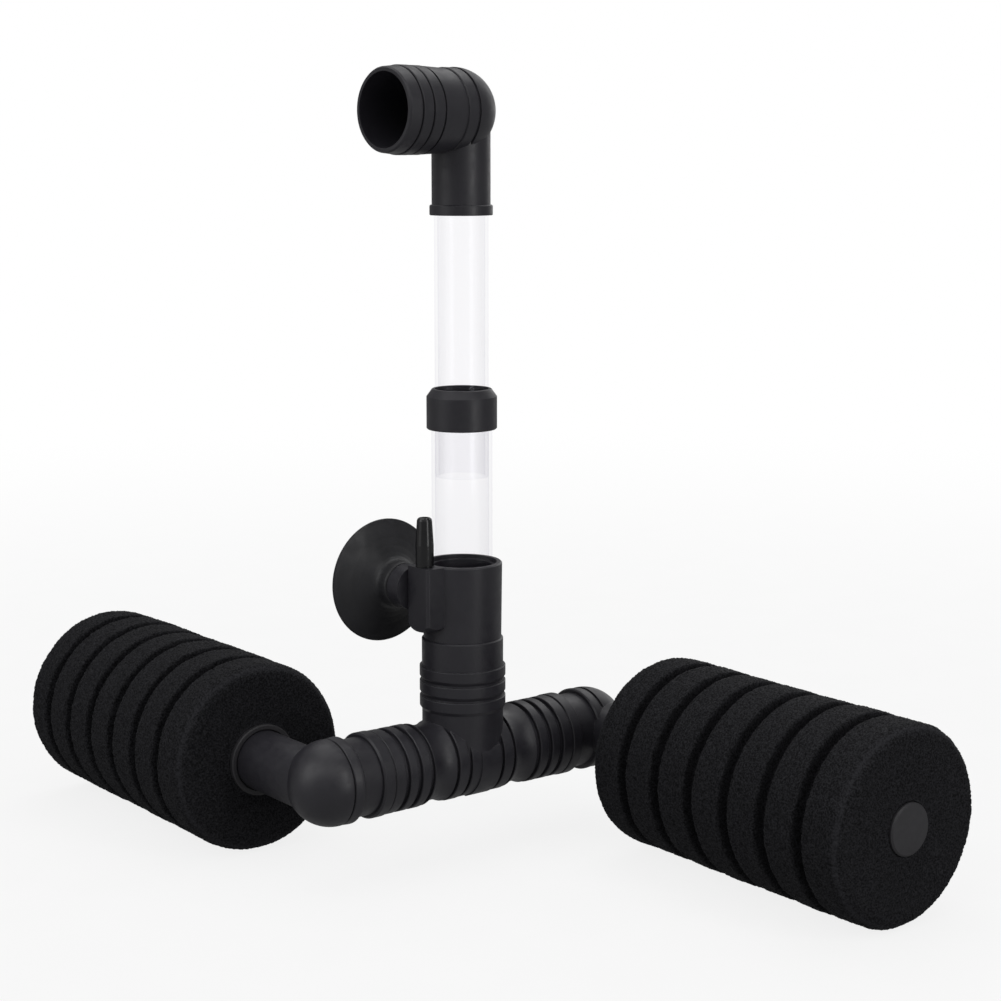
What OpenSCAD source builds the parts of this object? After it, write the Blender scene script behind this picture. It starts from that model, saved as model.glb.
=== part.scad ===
// Double sponge filter: an air-lift riser on a tee, with a sponge on an elbow at each end.
// Origin on the floor under the riser, +Z up, X along the tee's barrel, Y along the sponges.

/* [Sponges] */
// Diameter of each sponge
sponge_d = 57.5; // [50:0.5:60]
// Length of each sponge
sponge_len = 98; // [80:1:110]
// Distance from the riser to each sponge's axis
sponge_offset = 51.2; // [50.5:0.1:56]
// Gap along Y from the riser's axis to the near face of a sponge
sponge_start = 32.6; // [30:0.1:36]
// Number of grooves round each sponge
groove_count = 6; // [2:1:8]

/* [Riser] */
// Outside diameter of the lower clear tube
lower_tube_d = 18; // [18:0.1:18.4]
// Height of the outlet's axis above the tee's axis
outlet_height = 191; // [180:1:200]
// Height of the slip collar's top above the tee's axis
collar_top = 111; // [100:1:118]
// How far the upper tube reaches into the lower one at rest
tube_overlap = 21; // [12:1:40]

/* [Fittings] */
// Half length of the tee's barrel
tee_half = 37.3; // [36.5:0.1:40]
// Height of the tee's mouth above its axis
tee_rise = 36.5; // [36:0.5:40]
// Outside radius of the plain parts of the tee
band_r = 12.2; // [12:0.05:12.4]
// Reach of the outlet's mouth from the riser's axis
outlet_reach = 29; // [28:0.5:32]
// Turn of the outlet away from the tee's barrel, in degrees
outlet_turn = 5; // [-30:1:30]

/* [Suction cup] */
// Diameter of the cup's rim
cup_d = 37.4; // [30:0.2:38]
// Height of the cup's centre above the tee's axis
cup_height = 52; // [51:0.1:53]

/* [Hidden] */
$fn = 96;

// Radial gap of a push fit that turns or slides
gap = 0.05;
// How far a cut runs past a face, and a length that runs a cut right out of a piece
eps = 0.2;
far = 60;

// Heights
axis_z = sponge_d / 2;
tee_mouth_z = axis_z + tee_rise;
outlet_z = axis_z + outlet_height;

// Small chamfer on the rings round the fittings
edge = 0.2;

// Tee: rings on its barrel, rings on its upright arm, and the thicker mouths of its barrel
barrel_ring_r = band_r + 0.3;
arm_ring_r = band_r + 0.7;
mouth_r = band_r + 0.5;
groove_r = band_r - 0.9;
socket_r = 10.5;
socket_depth = 17;
passage_r = 9.4;

// Lower elbows
spigot_r = socket_r - gap;
spigot_len = socket_depth - 1;
shoulder_x = 43.9;
ball_x = 48;
ball_r = 12.7;
neck_r = 11.5;
arm_r = 9;
arm_bore_r = 7.4;
elbow_bore_r = 8.7;

// Cores inside the sponges
core_socket_depth = 17;
core_socket_r = arm_r + gap;
core_hub_r = 10.2;
core_flange_r = 10.8;
core_flange_t = 1.6;
strainer_r = 7.4;
strainer_bore_r = 6;
cap_r = 7.5;
cap_t = 2;
sponge_end = sponge_start + sponge_len;
foam_gap = 0.3;

// Riser
upper_tube_r = lower_tube_d / 2 - 1 - gap - 0.05;
tube_wall = 1;
lower_tube_r = lower_tube_d / 2;
body_foot_r = 11.65;
body_head_r = 11.9;
body_top = axis_z + 59.3;
tube_foot = axis_z + 46;
tube_head = axis_z + collar_top - 5;
upper_foot = tube_head - tube_overlap;
collar_r = 10.4;
collar_len = 11.9;

// Air inlet
pod_x = 13.8;
pod_w = 10.4;
pod_out = 16.6;
pod_foot = axis_z + 39.6;
duct_r = 1.2;
port_z = axis_z + 42;
nozzle_r = 2.7;
nozzle_tip_r = 2.25;
nozzle_len = 14.6;
stud_r = 2;
stud_depth = 2.6;
boss_r = 6.6;
boss_end = 10.3;

// Suction cup, as distances along Y from the riser's axis
cup_z = axis_z + cup_height;
hub_near = 10.4;
hub_far = 14;
rim_y = 21.2;
hub_r = 6.9;

// Outlet elbow
outlet_r = 12.45;
outlet_neck_r = 8.55;
outlet_flange_r = 9.2;
outlet_flange_t = 3;
outlet_foot = axis_z + 161.4;
outlet_socket_top = outlet_z - 13;
outlet_bore_r = 10.6;

// A solid turned about +Z from points that are [radius, height]
module turned(points) {
    rotate_extrude() polygon(points);
}

// Puts a solid that was made along +Z along +X, or along +Y
module along_x() {
    rotate([0, 90, 0]) children();
}

module along_y() {
    rotate([-90, 0, 0]) children();
}

// A ring's outline as [radius, height] points, with both of its edges chamfered
function ring(r, from, to) = [[r - edge, from], [r, from + edge], [r, to - edge], [r - edge, to]];

// Half of the tee's barrel along +Z: a plain middle, one ring, a waist, three rings, the mouth
module half_barrel() {
    mid_r = band_r + 0.15;
    waist_foot = 11.1;
    waist_head = 19.1;
    waist_curve_r = 8.3;
    waist_r = 11.35;
    lip = 0.5;
    rotate_extrude()
    difference() {
        polygon(concat(
            [[0, -1], [mid_r, -1], [mid_r, 5.4 - edge], [mid_r - edge, 5.4], [groove_r, 5.4]],
            [[groove_r, 6.6]], ring(barrel_ring_r, 6.6, 10.1), [[groove_r, 10.1]],
            [[groove_r, waist_foot]], ring(mid_r, waist_foot, waist_head),
            [[groove_r, waist_head], [groove_r, 20.6]], ring(barrel_ring_r, 20.6, 23.6),
            [[groove_r, 23.6], [groove_r, 25.2]], ring(barrel_ring_r, 25.2, 28),
            [[groove_r, 28], [groove_r, 29.6]], ring(barrel_ring_r, 29.6, 33.1),
            [[band_r, 33.1], [band_r, 33.5]],
            [[mouth_r - edge, 33.5], [mouth_r, 33.5 + edge]],
            [[mouth_r, tee_half - lip], [mouth_r - lip, tee_half], [0, tee_half]]
        ));
        translate([waist_r + waist_curve_r, (waist_foot + waist_head) / 2])
            circle(r = waist_curve_r);
    }
}

// The tee's upright arm along +Z: plain, with three rings that are sharp above and slope below
module upright_arm() {
    ring_top = tee_rise - 8.5;
    pitch = 4.6;
    flat = 3.05;
    slope = 1.05;
    lip = 0.4;
    turned(concat(
        [[0, 0], [0, tee_rise], [band_r - lip, tee_rise], [band_r, tee_rise - lip]],
        [for (i = [0 : 2])
            each [[band_r, ring_top - i * pitch],
                  [arm_ring_r - edge, ring_top - i * pitch],
                  [arm_ring_r, ring_top - i * pitch - edge],
                  [arm_ring_r, ring_top - i * pitch - flat],
                  [band_r, ring_top - i * pitch - flat - slope]]],
        [[band_r, 0]]
    ));
}

// Low raised pad on the front of the barrel's middle
module front_pad() {
    foot_x = -2.1;
    head_x = 5.2;
    intersection() {
        translate([foot_x, 0, 0]) along_x() cylinder(r = mouth_r, h = head_x - foot_x);
        translate([foot_x - 1, -mouth_r - 1, -12]) cube([far, mouth_r + 1, 16.5]);
    }
}

module tee() {
    color([0.08, 0.08, 0.09])
    translate([0, 0, axis_z])
    difference() {
        union() {
            along_x() {
                half_barrel();
                mirror([0, 0, 1]) half_barrel();
            }
            upright_arm();
            front_pad();
        }
        along_x() {
            cylinder(r = passage_r, h = 2 * tee_half + 2, center = true);
            for (side = [0, 1])
                mirror([0, 0, side])
                    translate([0, 0, tee_half - socket_depth])
                        cylinder(r = socket_r, h = socket_depth + eps);
        }
        cylinder(r = passage_r, h = tee_rise + 1);
        translate([0, 0, tee_rise - socket_depth])
            cylinder(r = socket_r, h = socket_depth + eps);
    }
}

// Round back of an elbow, turned about +Z: a half ball from height z, closing upwards
module half_ball(r, z) {
    rotate_extrude()
        translate([0, z])
            intersection() {
                circle(r = r);
                square([r + 1, r + 1]);
            }
}

// Outside of a lower elbow's barrel along +Z: spigot, neck, shoulder, groove and ball
module elbow_barrel() {
    groove = 0.7;
    shoulder_r = ball_r + 0.1;
    turned([
        [0, tee_half - spigot_len], [spigot_r - 0.4, tee_half - spigot_len],
        [spigot_r, tee_half - spigot_len + 0.4], [spigot_r, tee_half], [neck_r, tee_half],
        [neck_r, shoulder_x], [shoulder_r - 0.4, shoulder_x], [shoulder_r, shoulder_x + 0.4],
        [shoulder_r, shoulder_x + 1.1], [ball_r - 0.1, ball_x - groove - edge],
        [ball_r - 0.1 - edge, ball_x - groove], [ball_r - 0.7, ball_x - groove],
        [ball_r - 0.7, ball_x + 0.1], [0, ball_x + 0.1]
    ]);
    half_ball(ball_r, ball_x);
}

// Elbow with its barrel on +X and its arm along -Y
module lower_elbow() {
    arm_len = sponge_start + core_socket_depth - 1;
    translate([0, 0, axis_z])
    difference() {
        union() {
            along_x() elbow_barrel();
            translate([sponge_offset, 0, 0]) rotate([90, 0, 0]) cylinder(r = arm_r, h = arm_len);
        }
        along_x() {
            translate([0, 0, tee_half - spigot_len - 1])
                cylinder(r = elbow_bore_r, h = sponge_offset - tee_half + spigot_len + 1);
        }
        translate([sponge_offset, 1, 0]) rotate([90, 0, 0])
            cylinder(r = arm_bore_r, h = arm_len + 2);
    }
}

// Turns a right-hand piece half a turn about the riser, onto the left side
module left_side() {
    rotate([0, 0, 180]) children();
}

module right_elbow() {
    color([0.08, 0.08, 0.09]) lower_elbow();
}

module left_elbow() {
    color([0.08, 0.08, 0.09]) left_side() lower_elbow();
}

// Puts a solid that was made along +Z on the right sponge's axis, running outwards
module on_sponge_axis() {
    translate([sponge_offset, 0, axis_z]) rotate([90, 0, 0]) children();
}

// Core of a sponge: a socket for the elbow's arm, then a slotted strainer tube
module core_tube() {
    slot_w = 2;
    slot_len = 11;
    slot_rows = 5;
    slots_round = 6;
    strainer_start = sponge_start + core_socket_depth + 2;
    strainer_end = sponge_end - 1;
    row_pitch = (strainer_end - strainer_start - 6) / slot_rows;
    on_sponge_axis()
    difference() {
        turned([
            [strainer_bore_r, sponge_start + core_socket_depth],
            [core_socket_r, sponge_start + core_socket_depth],
            [core_socket_r, sponge_start - core_flange_t + 0.4],
            [core_socket_r + 0.4, sponge_start - core_flange_t],
            [core_flange_r - 0.3, sponge_start - core_flange_t],
            [core_flange_r, sponge_start - core_flange_t + 0.3],
            [core_flange_r, sponge_start - 0.1], [core_hub_r, sponge_start - 0.1],
            [core_hub_r, strainer_start], [strainer_r, strainer_start],
            [strainer_r, strainer_end], [strainer_bore_r, strainer_end]
        ]);
        for (row = [0 : slot_rows - 1], turn = [0 : slots_round - 1])
            rotate([0, 0, turn * 360 / slots_round])
                translate([0, -slot_w / 2, strainer_start + 2 + row * row_pitch])
                    cube([strainer_r + 1, slot_w, slot_len]);
    }
}

module right_core_tube() {
    color([0.1, 0.1, 0.11]) core_tube();
}

module left_core_tube() {
    color([0.1, 0.1, 0.11]) left_side() core_tube();
}

// Plug that closes the strainer's far end
module end_cap() {
    plug_len = 7;
    on_sponge_axis()
    turned([
        [0, sponge_end - 1 - plug_len], [strainer_bore_r - gap - 0.3, sponge_end - 1 - plug_len],
        [strainer_bore_r - gap, sponge_end - 1 - plug_len + 0.5],
        [strainer_bore_r - gap, sponge_end - 1], [cap_r, sponge_end - 1],
        [cap_r, sponge_end - 1 + cap_t - 0.5], [cap_r - 0.5, sponge_end - 1 + cap_t],
        [0, sponge_end - 1 + cap_t]
    ]);
}

module right_end_cap() {
    color([0.1, 0.1, 0.11]) end_cap();
}

module left_end_cap() {
    color([0.1, 0.1, 0.11]) left_side() end_cap();
}

// Foam cylinder with rounded ends, sawn grooves and a stepped bore for the core
module sponge() {
    groove_w = 3.6;
    groove_depth = 4.5;
    pitch = sponge_len / (groove_count + 1);
    r = sponge_d / 2;
    round_r = 5;
    bore_r = strainer_r + foam_gap;
    hub_bore_r = core_hub_r + foam_gap;
    hub_bore_end = sponge_start + core_socket_depth + 2 + foam_gap;
    on_sponge_axis()
    rotate_extrude()
    difference() {
        union() {
            translate([bore_r, sponge_start + round_r])
                square([r - bore_r, sponge_len - 2 * round_r]);
            translate([bore_r, sponge_start]) square([r - round_r - bore_r, sponge_len]);
            for (z = [sponge_start + round_r, sponge_end - round_r])
                translate([r - round_r, z]) circle(r = round_r);
        }
        translate([bore_r - 1, sponge_start - 1])
            square([hub_bore_r - bore_r + 1, hub_bore_end - sponge_start + 1]);
        for (i = [1 : groove_count])
            translate([r - groove_depth, sponge_start + i * pitch - groove_w / 2])
                square([groove_depth + 1, groove_w]);
    }
}

module right_sponge() {
    color([0.13, 0.13, 0.14]) sponge();
}

module left_sponge() {
    color([0.13, 0.13, 0.14]) left_side() sponge();
}

// Side pod on -X: an upright block with rounded corners and a domed foot
module pod() {
    corner = 1;
    dome_x = 12.8;
    dome_r = 7;
    dome_edge = 5.6;
    intersection() {
        translate([0, 0, pod_foot]) linear_extrude(height = body_top - pod_foot) {
            translate([-pod_out + corner, -pod_w / 2]) square([pod_out - corner, pod_w]);
            translate([-pod_out, -pod_w / 2 + corner]) square([pod_out, pod_w - 2 * corner]);
            for (side = [-1, 1])
                translate([-pod_out + corner, side * (pod_w / 2 - corner)]) circle(r = corner);
        }
        translate([-dome_x, 0, pod_foot])
        rotate_extrude()
            intersection() {
                union() {
                    square([dome_r - dome_edge, far]);
                    translate([0, dome_edge]) square([dome_r, far]);
                    translate([dome_r - dome_edge, dome_edge]) circle(r = dome_edge);
                }
                square([far, far]);
            }
    }
}

// Plugs into the tee, holds the clear tube and leads the air in through the pod
module air_inlet_body() {
    ledge_z = axis_z + 34;
    color([0.08, 0.08, 0.09])
    difference() {
        union() {
            turned([
                [0, tee_mouth_z - spigot_len], [spigot_r - 0.4, tee_mouth_z - spigot_len],
                [spigot_r, tee_mouth_z - spigot_len + 0.4], [spigot_r, tee_mouth_z],
                [body_foot_r, tee_mouth_z], [body_head_r, body_top - 0.4],
                [body_head_r - 0.4, body_top],
                [0, body_top]
            ]);
            pod();
            translate([-pod_x, pod_w / 2 - 0.2, cup_z]) along_y()
                turned([
                    [0, 0], [boss_r, 0], [boss_r, boss_end - pod_w / 2 - edge + 0.2],
                    [boss_r - edge, boss_end - pod_w / 2 + 0.2], [0, boss_end - pod_w / 2 + 0.2]
                ]);
        }
        translate([0, 0, tee_mouth_z - spigot_len - 1])
            cylinder(r = lower_tube_r - 1.2, h = far);
        translate([0, 0, ledge_z]) cylinder(r = lower_tube_r + gap, h = far);
        translate([0, 0, body_top - 1.2])
            cylinder(r = lower_tube_r + 1.3, h = 1.2 + eps);
        translate([-pod_x, 0, port_z]) cylinder(r = duct_r, h = far);
        translate([-pod_x, 0, port_z]) along_x() cylinder(r = duct_r, h = pod_x);
        translate([-pod_x, 0, body_top - 4]) cylinder(r = stud_r + gap, h = 4 + eps);
        translate([-pod_x, pod_w / 2 - stud_depth - 0.2, cup_z]) along_y()
            cylinder(r = stud_r + gap, h = far);
    }
}

// Waisted sleeve under the clear tube: air from the waist bubbles through a ring of holes
module bubble_sleeve() {
    foot = axis_z + 34.1;
    top = tube_foot - 0.1;
    outer_r = lower_tube_r;
    inner_r = lower_tube_r - 1.3;
    waist_r = outer_r - 0.5;
    hole_r = 0.4;
    hole_count = 12;
    color([0.2, 0.2, 0.22])
    difference() {
        turned([
            [inner_r, foot], [outer_r, foot], [outer_r, foot + 3], [waist_r, foot + 3.5],
            [waist_r, top - 1.7], [outer_r, top - 1.2], [outer_r, top], [inner_r, top]
        ]);
        for (i = [0 : hole_count - 1])
            rotate([0, 0, (i + 0.5) * 360 / hole_count])
                translate([inner_r - 1, 0, port_z]) along_x() cylinder(r = hole_r, h = 4);
    }
}

// Tapered spout for the air line, pushed into the top of the pod
module air_nozzle() {
    straight = 6.5;
    color([0.03, 0.03, 0.03])
    translate([-pod_x, 0, body_top])
    turned([
        [1.1, -3.8], [stud_r, -3.8], [stud_r, 0.05], [nozzle_r, 0.05], [nozzle_r, straight],
        [nozzle_tip_r, nozzle_len - 0.9], [nozzle_tip_r - 0.2, nozzle_len - 0.3],
        [nozzle_tip_r - 0.6, nozzle_len], [1.1, nozzle_len]
    ]);
}

// Rubber cup facing +Y, with a thick hub and a stud that turns in the pod's side
module suction_cup() {
    rim_r = cup_d / 2;
    stud_foot = pod_w / 2 - stud_depth;
    color([0.06, 0.06, 0.07])
    translate([-pod_x, 0, cup_z])
    along_y()
    turned([
        [0, stud_foot], [stud_r, stud_foot], [stud_r, hub_near], [hub_r - 0.7, hub_near],
        [hub_r, hub_near + 0.7], [hub_r, hub_far],
        [hub_r + 3, hub_far + 2.1], [hub_r + 7.6, hub_far + 4.7], [rim_r - 0.5, rim_y - 0.9],
        [rim_r, rim_y - 0.4], [rim_r, rim_y], [rim_r - 1.5, rim_y],
        [hub_r + 6.4, hub_far + 5.2], [hub_r + 1.4, hub_far + 2.6], [0, hub_far + 1.4]
    ]);
}

// A plain tube standing on +Z
module tube(r, foot, head) {
    translate([0, 0, foot])
    difference() {
        cylinder(r = r, h = head - foot);
        translate([0, 0, -1]) cylinder(r = r - tube_wall, h = head - foot + 2);
    }
}

module lower_riser_tube() {
    color([0.85, 0.87, 0.93, 0.35]) tube(lower_tube_r, tube_foot, tube_head);
}

module upper_riser_tube() {
    color([0.85, 0.87, 0.93, 0.35]) tube(upper_tube_r, upper_foot, outlet_socket_top - 0.3);
}

// Ring on top of the lower tube that guides the upper one
module slip_collar() {
    top = axis_z + collar_top;
    foot = top - collar_len;
    seat = tube_head + 0.1;
    color([0.08, 0.08, 0.09])
    turned([
        [lower_tube_r + gap, foot], [collar_r - 0.3, foot], [collar_r, foot + 0.3],
        [collar_r, top - 2.3], [lower_tube_r - 0.2, top - 0.1], [lower_tube_r - 0.4, top],
        [upper_tube_r + gap, top], [upper_tube_r + gap, top - 2.2],
        [lower_tube_r + gap, top - 2.2], [lower_tube_r + gap, seat]
    ]);
}

// Rubber ring under the collar's lid: its friction holds the upper tube where it is set
module grip_ring() {
    foot = tube_head + 0.1;
    head = axis_z + collar_top - 2.3;
    mid = (foot + head) / 2;
    color([0.05, 0.05, 0.05])
    turned([
        [upper_tube_r + 0.6, foot], [lower_tube_r, foot], [lower_tube_r, head],
        [upper_tube_r + 0.6, head], [upper_tube_r + 0.03, mid + 0.4],
        [upper_tube_r + 0.03, mid - 0.4]
    ]);
}

// Outside of the outlet's barrel along +Z: mouth, two rings, plain band, ring and ball, with a
// narrow groove between each and the next
module outlet_barrel() {
    back = 3.2;
    groove_w = 0.6;
    bottom_r = outlet_r - 0.6;
    mouth_start = outlet_reach - 3.9;
    ring_pitch = 4.3;
    plain_end = outlet_reach - 12.9;
    plain_start = outlet_reach - 20.9;
    lip = 0.5;
    function groove(start) = [[bottom_r, start], [bottom_r, start + groove_w]];
    turned(concat(
        [[0, back], [bottom_r, back], [bottom_r, back + groove_w]],
        ring(outlet_r - 0.2, back + groove_w, plain_start - groove_w),
        groove(plain_start - groove_w),
        [[outlet_r - 0.45, plain_start], [outlet_r - 0.1, plain_end]],
        groove(plain_end), ring(outlet_r, plain_end + groove_w, plain_end + ring_pitch),
        groove(plain_end + ring_pitch),
        ring(outlet_r + 0.05, plain_end + ring_pitch + groove_w, mouth_start - groove_w),
        groove(mouth_start - groove_w),
        [[outlet_r - 0.15, mouth_start], [outlet_r - 0.5, outlet_reach - lip],
         [outlet_r - 0.9, outlet_reach], [0, outlet_reach]]
    ));
    mirror([0, 0, 1]) half_ball(outlet_r - 0.05, -back - 0.01);
}

module outlet_elbow() {
    color([0.08, 0.08, 0.09])
    rotate([0, 0, outlet_turn])
    difference() {
        union() {
            translate([0, 0, outlet_z]) rotate([0, -90, 0]) outlet_barrel();
            turned([
                [0, outlet_foot], [outlet_flange_r - 0.2, outlet_foot],
                [outlet_flange_r, outlet_foot + 0.2],
                [outlet_flange_r, outlet_foot + outlet_flange_t - 0.3],
                [outlet_flange_r - 0.3, outlet_foot + outlet_flange_t],
                [outlet_neck_r, outlet_foot + outlet_flange_t], [outlet_neck_r, outlet_z - 1],
                [0, outlet_z - 1]
            ]);
        }
        translate([0, 0, outlet_z]) rotate([0, -90, 0])
            cylinder(r = outlet_bore_r, h = outlet_reach + 1);
        translate([0, 0, outlet_foot - 1])
            cylinder(r = upper_tube_r - tube_wall, h = outlet_z - outlet_foot + 1);
        translate([0, 0, outlet_foot - 1])
            cylinder(r = upper_tube_r + gap, h = outlet_socket_top - outlet_foot + 1);
    }
}

tee();
left_elbow();
right_elbow();
left_core_tube();
right_core_tube();
left_end_cap();
right_end_cap();
left_sponge();
right_sponge();
air_inlet_body();
bubble_sleeve();
air_nozzle();
suction_cup();
lower_riser_tube();
slip_collar();
grip_ring();
upper_riser_tube();
outlet_elbow();
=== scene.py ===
import math

import bpy
import numpy as np
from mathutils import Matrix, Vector, noise


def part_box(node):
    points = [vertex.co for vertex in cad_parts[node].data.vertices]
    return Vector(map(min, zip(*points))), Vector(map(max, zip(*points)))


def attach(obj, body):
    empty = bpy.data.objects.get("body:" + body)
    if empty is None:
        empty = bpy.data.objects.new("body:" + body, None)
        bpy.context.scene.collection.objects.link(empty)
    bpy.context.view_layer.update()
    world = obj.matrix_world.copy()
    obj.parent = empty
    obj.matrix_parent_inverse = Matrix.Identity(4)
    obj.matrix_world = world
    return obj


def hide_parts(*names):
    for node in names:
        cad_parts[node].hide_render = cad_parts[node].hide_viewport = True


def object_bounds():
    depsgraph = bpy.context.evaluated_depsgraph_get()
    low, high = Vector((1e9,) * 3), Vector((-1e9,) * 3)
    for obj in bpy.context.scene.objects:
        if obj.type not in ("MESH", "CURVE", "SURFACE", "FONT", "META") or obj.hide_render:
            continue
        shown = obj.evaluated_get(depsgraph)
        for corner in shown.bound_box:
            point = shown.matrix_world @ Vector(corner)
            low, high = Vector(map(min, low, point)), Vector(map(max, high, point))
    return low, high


MM = 0.001

# Camera, as the object is seen from it, and how far its aim lies from the object's middle
VIEW_AZIMUTH, VIEW_ELEVATION = -38.05, 9.49
VIEW_DISTANCE, VIEW_LENS = 609.07 * MM, 74.09
AIM_RIGHT, AIM_UP = 11.4 * MM, -9.68 * MM

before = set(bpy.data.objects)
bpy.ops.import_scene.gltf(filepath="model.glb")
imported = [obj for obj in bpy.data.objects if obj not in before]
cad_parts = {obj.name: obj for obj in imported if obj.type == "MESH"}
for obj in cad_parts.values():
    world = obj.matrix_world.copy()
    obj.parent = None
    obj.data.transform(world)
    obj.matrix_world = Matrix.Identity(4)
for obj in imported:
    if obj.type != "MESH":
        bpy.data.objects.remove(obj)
cad_lo, cad_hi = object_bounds()


def direction(azimuth, elevation):
    a, e = math.radians(azimuth), math.radians(elevation)
    return Vector((math.sin(a) * math.cos(e), -math.cos(a) * math.cos(e), math.sin(e)))


# Materials


def new_material(name):
    material = bpy.data.materials.new(name)
    material.use_nodes = True
    tree = material.node_tree
    return material, tree, tree.nodes["Principled BSDF"]


def add(tree, kind, inputs=(), **settings):
    """A shader node, with its settings and its inputs, each a value or a socket to link."""
    node = tree.nodes.new(kind)
    for key, value in settings.items():
        setattr(node, key, value)
    for key, value in dict(inputs).items():
        if isinstance(value, bpy.types.NodeSocket):
            tree.links.new(value, node.inputs[key])
        else:
            node.inputs[key].default_value = value
    return node


def grain(tree, scale, detail=2.0, stretch=(1, 1, 1)):
    """A noise socket from 0 to 1 over the object; scale is in waves a metre."""
    coord = add(tree, "ShaderNodeTexCoord").outputs["Object"]
    spread = add(tree, "ShaderNodeMapping", {"Vector": coord, "Scale": stretch}).outputs[0]
    return add(
        tree, "ShaderNodeTexNoise", {"Vector": spread, "Scale": scale, "Detail": detail}
    ).outputs["Fac"]


def spread(tree, source, low, high, start=0.3, end=0.7):
    """Maps a socket smoothly from start..end to low..high."""
    return add(
        tree,
        "ShaderNodeMapRange",
        {"Value": source, "From Min": start, "From Max": end, "To Min": low, "To Max": high},
        interpolation_type="SMOOTHSTEP",
    ).outputs[0]


def tone(tree, source, dark, light):
    """Mixes two colours by a socket."""
    ramp = add(tree, "ShaderNodeValToRGB", {"Fac": source})
    ramp.color_ramp.elements[0].position, ramp.color_ramp.elements[1].position = 0.3, 0.7
    ramp.color_ramp.elements[0].color = (*dark, 1)
    ramp.color_ramp.elements[1].color = (*light, 1)
    return ramp.outputs[0]


def plastic(name, dark, light, rough, texture, edge=0.2 * MM):
    """Moulded plastic: a faintly grained satin skin with slightly softened edges."""
    material, tree, bsdf = new_material(name)
    colour = tone(tree, grain(tree, 70, 4), dark, light)
    roughness = spread(tree, grain(tree, 420, 3), rough - 0.05, rough + 0.06)
    soft_edge = add(tree, "ShaderNodeBevel", {"Radius": edge}, samples=4).outputs[0]
    bump = add(
        tree,
        "ShaderNodeBump",
        {
            "Height": grain(tree, 2600, 2),
            "Distance": 0.03 * MM,
            "Strength": texture,
            "Normal": soft_edge,
        },
    ).outputs[0]
    for key, value in (("Base Color", colour), ("Roughness", roughness), ("Normal", bump)):
        tree.links.new(value, bsdf.inputs[key])
    return material


def rubber():
    material, tree, bsdf = new_material("cup_rubber")
    tree.links.new(
        tone(tree, grain(tree, 110, 5), (0.009, 0.009, 0.011), (0.014, 0.014, 0.017)),
        bsdf.inputs["Base Color"],
    )
    tree.links.new(spread(tree, grain(tree, 300, 4), 0.42, 0.55), bsdf.inputs["Roughness"])
    bump = add(
        tree,
        "ShaderNodeBump",
        {"Height": grain(tree, 1500, 3), "Distance": 0.04 * MM, "Strength": 0.25},
    ).outputs[0]
    tree.links.new(bump, bsdf.inputs["Normal"])
    return material


def foam_material():
    """Open-cell foam: fine light struts, pores painted black as shade in their pits, and painted
    light along the fringe where the foam was cut.
    """
    material, tree, bsdf = new_material("foam")
    # painted shade: the deeper a cell's pit, the darker the foam's colour there
    pit_depth_and_shade = add(tree, "ShaderNodeAttribute", attribute_name="pit_depth_and_shade").outputs["Fac"]
    # painted light: the foam's colour is paler along the cut fringe at its ends
    rim = add(tree, "ShaderNodeAttribute", attribute_name="rim").outputs["Fac"]
    speck = grain(tree, 2100, 2)
    depth = add(
        tree,
        "ShaderNodeMath",
        {0: pit_depth_and_shade, 1: 0.3, 2: spread(tree, speck, 0.0, 0.75)},
        operation="MULTIPLY_ADD",
    ).outputs[0]
    depth = add(
        tree, "ShaderNodeMath", {0: rim, 1: -0.45, 2: depth}, operation="MULTIPLY_ADD"
    ).outputs[0]
    ramp = add(tree, "ShaderNodeValToRGB", {"Fac": depth})
    ramp.color_ramp.elements[0].position, ramp.color_ramp.elements[1].position = 0.0, 0.85
    ramp.color_ramp.elements[0].color = (0.024, 0.024, 0.0275, 1)
    ramp.color_ramp.elements[1].color = (0.0042, 0.0042, 0.005, 1)
    tree.links.new(ramp.outputs[0], bsdf.inputs["Base Color"])
    tree.links.new(spread(tree, speck, 0.7, 0.95), bsdf.inputs["Roughness"])
    bsdf.inputs["Specular IOR Level"].default_value = 0.15
    bump = add(
        tree,
        "ShaderNodeBump",
        {"Height": speck, "Distance": 0.2 * MM, "Strength": 0.7},
    ).outputs[0]
    tree.links.new(bump, bsdf.inputs["Normal"])
    return material


def clear_plastic():
    """Thin clear wall: see-through, with painted shade that darkens it towards its sides, and more
    mirror-like there.
    """
    material, tree, bsdf = new_material("clear_tube")
    tree.nodes.remove(bsdf)
    out = tree.nodes["Material Output"]
    facing = add(tree, "ShaderNodeLayerWeight", {"Blend": 0.35}).outputs["Facing"]
    # painted shade: the see-through colour darkens where the wall turns away from the view
    side = add(tree, "ShaderNodeMath", {0: facing, 1: 3.0}, operation="POWER").outputs[0]
    streak = spread(tree, grain(tree, 160, 3, (1, 1, 0.02)), 0.0, 0.05)
    shade = add(tree, "ShaderNodeMath", {0: side, 1: streak}, operation="ADD").outputs[0]
    ramp = add(tree, "ShaderNodeValToRGB", {"Fac": shade})
    ramp.color_ramp.elements[0].color = (0.993, 0.992, 0.996, 1)
    ramp.color_ramp.elements[1].color = (0.94, 0.935, 0.955, 1)
    through = add(tree, "ShaderNodeBsdfTransparent", {"Color": ramp.outputs[0]}).outputs[0]
    shine = add(
        tree, "ShaderNodeBsdfGlossy", {"Color": (0.9, 0.9, 0.95, 1), "Roughness": 0.08}
    ).outputs[0]
    glint = add(tree, "ShaderNodeFresnel", {"IOR": 1.4}).outputs[0]
    glint = add(tree, "ShaderNodeMath", {0: glint, 1: 0.35}, operation="MULTIPLY").outputs[0]
    glint = add(tree, "ShaderNodeMath", {0: glint, 1: 0.035}, operation="MINIMUM").outputs[0]
    mix = add(tree, "ShaderNodeMixShader", {"Fac": glint, 1: through, 2: shine}).outputs[0]
    tree.links.new(mix, out.inputs["Surface"])
    return material


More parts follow.
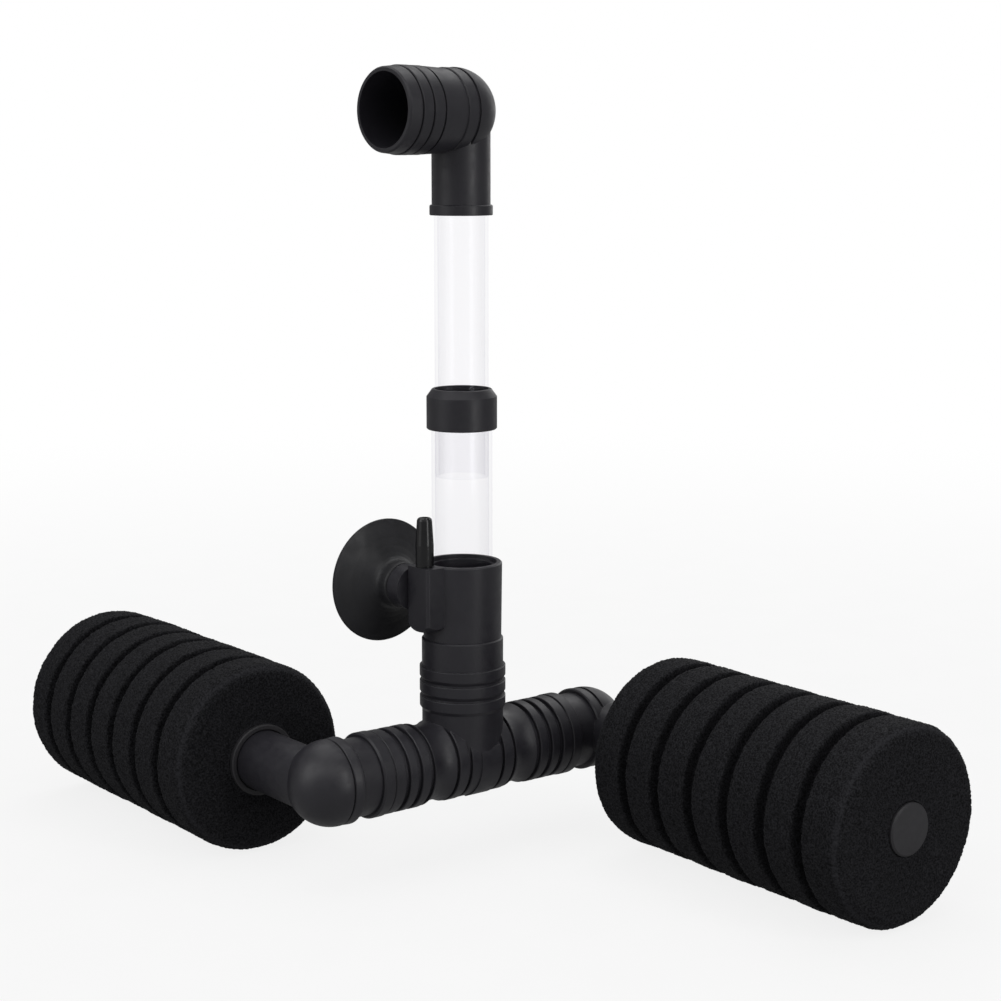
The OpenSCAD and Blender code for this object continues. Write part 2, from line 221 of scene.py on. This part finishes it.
MATERIALS = {
    "black_plastic": plastic(
        "black_plastic", (0.019, 0.018, 0.023), (0.027, 0.026, 0.032), 0.4, 0.25
    ),
    "core_plastic": plastic(
        "core_plastic", (0.022, 0.021, 0.024), (0.032, 0.031, 0.035), 0.55, 0.5
    ),
    "nozzle_plastic": plastic(
        "nozzle_plastic", (0.008, 0.008, 0.009), (0.013, 0.013, 0.014), 0.18, 0.08
    ),
    "cup_rubber": rubber(),
    "foam": foam_material(),
    "clear_tube": clear_plastic(),
}


def paint(obj, material):
    obj.data.materials.clear()
    obj.data.materials.append(MATERIALS[material])


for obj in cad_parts.values():
    paint(obj, obj.data.materials[0].name)


# Soft parts


def lathe(rows, origin, along, columns):
    """A grid of points turned about an axis. rows hold [radius, distance along the axis]."""
    along = np.array(along, float)
    across = np.cross(along, (1, 0, 0) if along[2] else (0, 0, 1))
    other = np.cross(along, across)
    turn = np.arange(columns)[None, :, None] * 2 * math.pi / columns
    radius, distance = rows[:, :1, None], rows[:, 1:, None]
    outwards = np.cos(turn) * across + np.sin(turn) * other
    return np.array(origin) + distance * along + radius * outwards


def grid_mesh(name, points, closed_loop):
    """A mesh from a grid of points, closed round its columns and by its rows or by end fans."""
    rows, columns = points.shape[:2]
    count = rows if closed_loop else rows - 1
    i, j = np.meshgrid(np.arange(count), np.arange(columns), indexing="ij")
    a, b = i * columns + j, i * columns + (j + 1) % columns
    c, d = ((i + 1) % rows) * columns + (j + 1) % columns, ((i + 1) % rows) * columns + j
    verts = points.reshape(-1, 3)
    faces = np.stack([a, b, c, d], axis=2).reshape(-1, 4).tolist()
    if not closed_loop:
        verts = np.vstack([verts, points[0].mean(0), points[-1].mean(0)])
        hub, tip = len(verts) - 2, len(verts) - 1
        base = (rows - 1) * columns
        faces += [[(k + 1) % columns, k, hub] for k in range(columns)]
        faces += [[base + k, base + (k + 1) % columns, tip] for k in range(columns)]
    mesh = bpy.data.meshes.new(name)
    mesh.from_pydata(verts.tolist(), [], faces)
    mesh.update()
    mesh.shade_smooth()
    obj = bpy.data.objects.new(name, mesh)
    bpy.context.scene.collection.objects.link(obj)
    return obj


def stand_in(obj, node, body, material):
    """Puts a modelled piece, which rides a body, in the place of a CAD node."""
    paint(obj, material)
    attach(obj, body)
    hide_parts(node)


def resample(path, step, density=None):
    """Points at an even step along a path of [radius, distance] corners, closer by density."""
    path = np.array(path)
    length = np.linalg.norm(np.diff(path, axis=0), axis=1)
    if density is not None:
        length = length * density
    reach = np.concatenate([[0], np.cumsum(length)])
    at = np.linspace(0, reach[-1], int(round(reach[-1] / step)) + 1)
    return np.stack([np.interp(at, reach, path[:, k]) for k in (0, 1)], axis=1)


def arc(centre, radius, start, end, count=7):
    """Points on an arc; angles in degrees, from the radius direction towards the axis direction."""
    turns = [math.radians(t) for t in np.linspace(start, end, count)]
    return [(centre[0] + radius * math.cos(t), centre[1] + radius * math.sin(t)) for t in turns]


FOAM_STEP = 0.47 * MM  # spacing of the foam mesh
FOAM_CELL = 0.75 * MM  # size of a foam cell
FOAM_PIT = 0.27 * MM  # depth of an open cell
FOAM_FUZZ = 0.11 * MM  # how far a cut strut sticks out
FOAM_WAVE = 0.35 * MM  # how far the foam's faces wander
FOAM_ROUND = 4.0 * MM  # rounding of the sponge's ends
FOAM_GROOVES = 6
FOAM_SEED = 11
GROOVE_DEPTH, GROOVE_HALF, GROOVE_EDGE = 4.5 * MM, 1.7 * MM, 0.8 * MM
GROOVE_BEND = 0.9 * MM  # rounding at a groove's foot
GROOVE_TAPER = 0.15 * MM  # how much narrower a groove is at its foot, on each side
SUNK_DEPTH, SUNK_DENSITY = 1.4 * MM, 0.45  # deeper than this the mesh's rows are sparser
HUB_BORE_LENGTH = 19.3 * MM
LIT_FRINGE_WIDTH = 1.1 * MM  # width of the painted light along the cut edge
BROAD_WAVE, FINE_WAVE = 22 * MM, 5 * MM  # lengths of the faces' wandering
PIT_SLOPE = 0.45  # in cells, how far from a strut a pit takes to reach its full depth


def foam_profile(radius, length, bore, hub_bore):
    """Section of the sponge as [radius, distance], the outside first, and how rough each row is."""
    inner = radius - FOAM_ROUND
    path = [(hub_bore, 0)] + arc((inner, FOAM_ROUND), FOAM_ROUND, -90, 0, 12)
    floor_r, bend = radius - GROOVE_DEPTH, GROOVE_BEND
    for i in range(FOAM_GROOVES):
        middle = length * (i + 1) / (FOAM_GROOVES + 1)
        foot, head = middle - GROOVE_HALF, middle + GROOVE_HALF
        path += arc((radius - GROOVE_EDGE, foot - GROOVE_EDGE), GROOVE_EDGE, 0, 90)
        path += arc((floor_r + bend, foot + bend + GROOVE_TAPER), -bend, 90, 0, 4)
        path += arc((floor_r + bend, head - bend - GROOVE_TAPER), -bend, 0, -90, 4)
        path += arc((radius - GROOVE_EDGE, head + GROOVE_EDGE), GROOVE_EDGE, -90, 0)
    path += arc((inner, length - FOAM_ROUND), FOAM_ROUND, 0, 90, 12) + [(bore, length)]
    middle_r = np.array([(a[0] + b[0]) / 2 for a, b in zip(path, path[1:])])
    distance = np.array([(a[1] + b[1]) / 2 for a, b in zip(path, path[1:])])
    between_ends = (distance > FOAM_ROUND) & (distance < length - FOAM_ROUND)
    sunk = (middle_r < radius - SUNK_DEPTH) & between_ends
    outside = resample(path, FOAM_STEP, np.where(sunk, SUNK_DENSITY, 1.0))
    bore_rows = resample(
        [(bore, length), (bore, HUB_BORE_LENGTH), (hub_bore, HUB_BORE_LENGTH), (hub_bore, 0)],
        6 * MM,
    )[1:-1]
    index = np.arange(len(outside))
    rough = np.minimum(1, np.minimum(index, index[::-1]) / 3)
    deep = np.clip((radius - outside[:, 0]) / GROOVE_DEPTH, 0, 1)
    in_groove = (outside[:, 1] > FOAM_ROUND) & (outside[:, 1] < length - FOAM_ROUND)
    rough = rough * np.where(in_groove, 1 - 0.6 * deep, 1)
    return np.vstack([outside, bore_rows]), np.concatenate([rough, np.zeros(len(bore_rows))])


def sponge(name, node, core, cap, side):
    """Open-cell foam in place of a CAD sponge: pitted cells, sawn grooves and a plain bore."""
    lo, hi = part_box(node)
    core_lo, core_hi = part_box(core)
    cap_lo, cap_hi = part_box(cap)
    radius, length = (hi.x - lo.x) / 2, hi.y - lo.y
    hub_bore = (core_hi.x - core_lo.x) / 2 - 0.3 * MM
    bore = (cap_hi.x - cap_lo.x) / 2 + 0.2 * MM
    origin = ((lo.x + hi.x) / 2, lo.y if side > 0 else hi.y, (lo.z + hi.z) / 2)
    rows, rough = foam_profile(radius, length, bore, hub_bore)
    columns = int(2 * math.pi * radius / FOAM_STEP)
    points = lathe(rows, origin, (0, side, 0), columns)
    down = np.roll(points, -1, axis=0) - np.roll(points, 1, axis=0)
    around = np.roll(points, -1, axis=1) - np.roll(points, 1, axis=1)
    normal = np.cross(around, down)
    normal /= np.maximum(np.linalg.norm(normal, axis=2, keepdims=True), 1e-12)
    outwards = points[0, :, :] - np.array(origin)
    if np.sum(normal[len(rows) // 3] * outwards) < 0:
        normal = -normal
    fuzz = np.random.default_rng(FOAM_SEED).uniform(-FOAM_FUZZ, FOAM_FUZZ, points.shape[:2])
    pit_depth_and_shade = np.zeros(points.shape[:2])
    shift = np.zeros(points.shape)
    for i in np.nonzero(rough)[0]:
        for j in range(columns):
            p = Vector(points[i, j])
            near = noise.voronoi(p / FOAM_CELL)[0]
            # how deep the cell's pit is, which also sets how dark its painted shade is
            pit_depth_and_shade[i, j] = min(1.0, (near[1] - near[0]) / PIT_SLOPE) * rough[i]
            wander = noise.noise_vector(p / BROAD_WAVE) + 0.4 * noise.noise_vector(p / FINE_WAVE)
            shift[i, j] = wander * (FOAM_WAVE * min(1.0, 2 * rough[i]))
    points = points + shift + normal * (fuzz * rough[:, None] - FOAM_PIT * pit_depth_and_shade)[..., None]
    obj = grid_mesh(name, points, True)
    end = np.minimum(rows[:, 1], length - rows[:, 1])
    # painted light along the cut fringe, which makes the foam's colour paler there
    rim = np.exp(-(((radius - rows[:, 0]) - end) / LIT_FRINGE_WIDTH) ** 2) * (end < FOAM_ROUND)
    rim = np.repeat(rim, columns).reshape(points.shape[:2])
    for label, values in (("pit_depth_and_shade", pit_depth_and_shade), ("rim", rim)):
        layer = obj.data.attributes.new(label, "FLOAT", "POINT")
        layer.data.foreach_set("value", values.reshape(-1).astype(np.float32))
    stand_in(obj, node, node, "foam")


noise.seed_set(FOAM_SEED)  # without it the noise starts from the clock
sponge("left_foam", "left_sponge", "left_core_tube", "left_end_cap", 1)
sponge("right_foam", "right_sponge", "right_core_tube", "right_end_cap", -1)


def suction_cup():
    """A smooth rubber cup: stud, thick hub flaring into a thin cone, and a turned-out lip."""
    lo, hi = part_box("suction_cup")
    rim, depth = (hi.x - lo.x) / 2, hi.y - lo.y
    # [share of the rim's radius, share of the depth], from the stud to the cup's middle
    shape = [
        (0.02, 0.0), (0.095, 0.0), (0.106, 0.012), (0.106, 0.42), (0.33, 0.42),
        (0.355, 0.432), (0.368, 0.455), (0.370, 0.49), (0.370, 0.585), (0.375, 0.625),
        (0.39, 0.665), (0.43, 0.712), (0.49, 0.755), (0.59, 0.812), (0.71, 0.868),
        (0.84, 0.917), (0.93, 0.953), (0.975, 0.968), (0.993, 0.976), (1.0, 0.986),
        (0.997, 0.996), (0.985, 1.0), (0.93, 0.994), (0.84, 0.957), (0.72, 0.908),
        (0.60, 0.853), (0.48, 0.79), (0.36, 0.74), (0.2, 0.705), (0.02, 0.698),
    ]
    rows = resample([(r * rim, s * depth) for r, s in shape], 0.25 * MM)
    points = lathe(rows, ((lo.x + hi.x) / 2, lo.y, (lo.z + hi.z) / 2), (0, 1, 0), 160)
    stand_in(grid_mesh("cup", points, False), "suction_cup", "suction_cup", "cup_rubber")


suction_cup()


def grip_ring():
    """A round-edged rubber ring between the slip collar and the upper tube."""
    lo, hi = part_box("grip_ring")
    tube_lo, tube_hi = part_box("upper_riser_tube")
    inner, outer = (tube_hi.x - tube_lo.x) / 2 + 0.03 * MM, (hi.x - lo.x) / 2
    middle, half = (inner + outer) / 2, (outer - inner) / 2
    turn = np.arange(28) * 2 * math.pi / 28

    def swell(value):
        return np.sign(value) * np.abs(value) ** 0.7

    radius = middle + half * swell(np.cos(turn))
    height = (hi.z - lo.z) / 2 * (1 + swell(np.sin(turn)))
    rows = np.stack([radius, height], axis=1)
    points = lathe(rows, ((lo.x + hi.x) / 2, (lo.y + hi.y) / 2, lo.z), (0, 0, 1), 96)
    stand_in(grid_mesh("rubber_ring", points, True), "grip_ring", "riser", "cup_rubber")


grip_ring()

# Studio


def lamp(name, azimuth, elevation, distance, width, height, radiance, target):
    """A soft box that faces its target. radiance is its brightness, a white wall being 1."""
    light = bpy.data.lights.new(name, "AREA")
    light.shape, light.size, light.size_y = "RECTANGLE", width, height
    light.energy = radiance * math.pi * width * height
    obj = bpy.data.objects.new(name, light)
    bpy.context.scene.collection.objects.link(obj)
    towards = direction(azimuth, elevation)
    obj.location = target + towards * distance
    obj.rotation_mode = "QUATERNION"
    obj.rotation_quaternion = towards.to_track_quat("Z", "Y")
    obj.visible_camera = False
    return obj


FILL = 0.235  # brightness of the white surroundings, as the object's own surfaces see them
centre = (cad_lo + cad_hi) / 2
low = Vector((0, 0, 0.38))  # the strips reach down to the floor, so upright faces mirror them
lamp("left_strip", VIEW_AZIMUTH - 62, 0, 0.6, 0.4, 0.74, 0.45, low)
lamp("right_strip", VIEW_AZIMUTH + 46, 0, 0.6, 0.18, 0.74, 2.5, low)
lamp("left_box", VIEW_AZIMUTH - 62, 32, 1.3, 0.9, 0.9, 1.0, centre)
lamp("front_box", VIEW_AZIMUTH - 8, 50, 1.5, 1.6, 1.1, 0.75, centre)
lamp("top_box", VIEW_AZIMUTH + 180, 70, 1.2, 1.3, 1.3, 1.0, centre)
lamp("back_wall", VIEW_AZIMUTH + 150, 20, 1.5, 1.2, 1.3, 0.7, centre)


FLOOR_SIZE = 20  # metres, past the edge of every view
FLOOR_GAP = 0.4 * MM  # room for the foam's faces, which wander past the CAD sponge


def camera_only(tree, others):
    """1 to the camera, a smaller value to every other ray."""
    seen = add(tree, "ShaderNodeLightPath").outputs["Is Camera Ray"]
    return add(
        tree, "ShaderNodeMapRange", {"Value": seen, "To Min": others, "To Max": 1.0}
    ).outputs[0]


def stay_under(obj, names):
    """Lowers obj where a pose swings one of these pieces below it; it never rises."""
    tree = bpy.data.node_groups.new("stay_under", "GeometryNodeTree")
    for way in ("INPUT", "OUTPUT"):
        tree.interface.new_socket("Geometry", in_out=way, socket_type="NodeSocketGeometry")
    start = add(tree, "NodeGroupInput").outputs["Geometry"]
    joined = add(tree, "GeometryNodeJoinGeometry")
    for name in names:
        piece = {"Object": bpy.data.objects[name]}
        info = add(tree, "GeometryNodeObjectInfo", piece, transform_space="RELATIVE")
        tree.links.new(info.outputs["Geometry"], joined.inputs["Geometry"])
    box = add(tree, "GeometryNodeBoundBox", {"Geometry": joined.outputs["Geometry"]})
    lowest = add(tree, "ShaderNodeSeparateXYZ", {0: box.outputs["Min"]}).outputs["Z"]
    drop = add(tree, "ShaderNodeMath", {0: lowest, 1: 0.0}, operation="MINIMUM").outputs[0]
    shift = add(tree, "ShaderNodeCombineXYZ", {"Z": drop}).outputs[0]
    moved = add(tree, "GeometryNodeTransform", {"Geometry": start, "Translation": shift})
    end = add(tree, "NodeGroupOutput")
    tree.links.new(moved.outputs["Geometry"], end.inputs["Geometry"])
    obj.modifiers.new("stay_under", "NODES").node_group = tree


def floor():
    """A white floor with a faint shadow that fades into the surroundings, clear from below."""
    height = cad_lo.z - FLOOR_GAP
    bpy.ops.mesh.primitive_plane_add(size=FLOOR_SIZE, location=(0, 0, height))
    obj = bpy.context.object
    obj.name = "floor"
    material, tree, bsdf = new_material("floor")
    tree.nodes.remove(bsdf)
    out = tree.nodes["Material Output"]
    place = add(tree, "ShaderNodeTexCoord").outputs["Object"]
    away = add(tree, "ShaderNodeVectorMath", {0: place}, operation="LENGTH").outputs["Value"]
    speck = spread(tree, grain(tree, 40, 3), 0.78, 0.82)
    lit = add(tree, "ShaderNodeBsdfDiffuse", {"Color": speck}).outputs[0]
    glow = add(
        tree, "ShaderNodeEmission", {"Color": (1, 1, 1, 1), "Strength": camera_only(tree, FILL)}
    ).outputs[0]
    own = add(tree, "ShaderNodeMixShader", {"Fac": 0.84, 1: lit, 2: glow}).outputs[0]
    fade = spread(tree, away, 0, 1, 0.15, 1.0)
    white = add(tree, "ShaderNodeMixShader", {"Fac": fade, 1: own, 2: glow}).outputs[0]
    below = add(tree, "ShaderNodeNewGeometry").outputs["Backfacing"]
    clear = add(tree, "ShaderNodeBsdfTransparent").outputs[0]
    both = add(tree, "ShaderNodeMixShader", {"Fac": below, 1: white, 2: clear}).outputs[0]
    tree.links.new(both, out.inputs["Surface"])
    obj.data.materials.append(material)
    stay_under(obj, ("left_foam", "right_foam"))


floor()

scene = bpy.context.scene
world = bpy.data.worlds.new("studio")
scene.world = world
world.use_nodes = True
tree = world.node_tree
background = tree.nodes["Background"]
background.inputs["Color"].default_value = (1, 1, 1, 1)
tree.links.new(camera_only(tree, FILL), background.inputs["Strength"])
scene.view_settings.view_transform = "Standard"

back = direction(VIEW_AZIMUTH, VIEW_ELEVATION)
right = Vector((math.cos(math.radians(VIEW_AZIMUTH)), math.sin(math.radians(VIEW_AZIMUTH)), 0))
up = back.cross(right)
camera_data = bpy.data.cameras.new("camera")
camera_data.lens, camera_data.sensor_width = VIEW_LENS, 36
camera = bpy.data.objects.new("camera", camera_data)
scene.collection.objects.link(camera)
camera.location = centre + right * AIM_RIGHT + up * AIM_UP + back * VIEW_DISTANCE
camera.rotation_mode = "QUATERNION"
camera.rotation_quaternion = back.to_track_quat("Z", "Y")
scene.camera = camera
